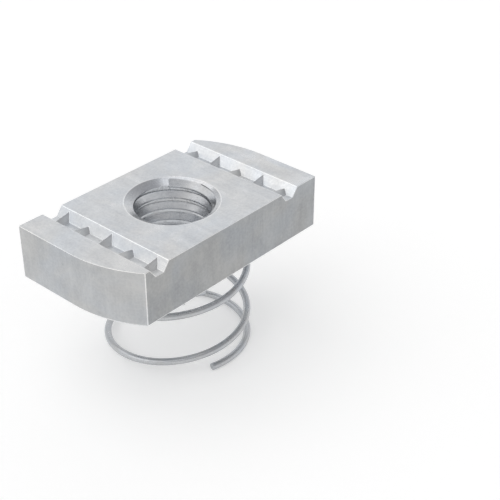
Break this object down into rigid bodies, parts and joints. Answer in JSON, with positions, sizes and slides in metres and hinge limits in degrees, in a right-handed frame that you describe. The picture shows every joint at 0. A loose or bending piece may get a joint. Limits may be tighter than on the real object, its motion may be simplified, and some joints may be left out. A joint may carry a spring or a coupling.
{
  "type": "strut channel spring nut",
  "caption": "Steel clamping plate with a tapped hole and two toothed grooves, held up in a strut channel by a coil spring staked to its underside.",
  "frame": {"origin": "on the axis of the tapped hole, in the plane that the spring's foot stands on", "axes": "+Z along the hole's axis, out of the toothed face; X along the plate's length, with the square corners at -X +Y and +X -Y"},
  "size_m": [0.0354, 0.0206, 0.0218],
  "materials": {
    "zinc_plated_steel": "bright zinc plate over pressed and milled steel",
    "spring_wire": "zinc-plated spring wire"
  },
  "bodies": {
    "nut": {"channel_nut": "zinc_plated_steel"},
    "spring": {"coil_spring": "spring_wire"}
  },
  "joints": [
    {"name": "spring_press", "type": "slide", "parent": "nut", "child": "spring", "axis": [0, 0, 1], "range_m": [0, 0.0095], "stiffness_N_per_m": 753, "springref_m": -0.0006, "deforming": ["coil_spring"]}
  ]
}
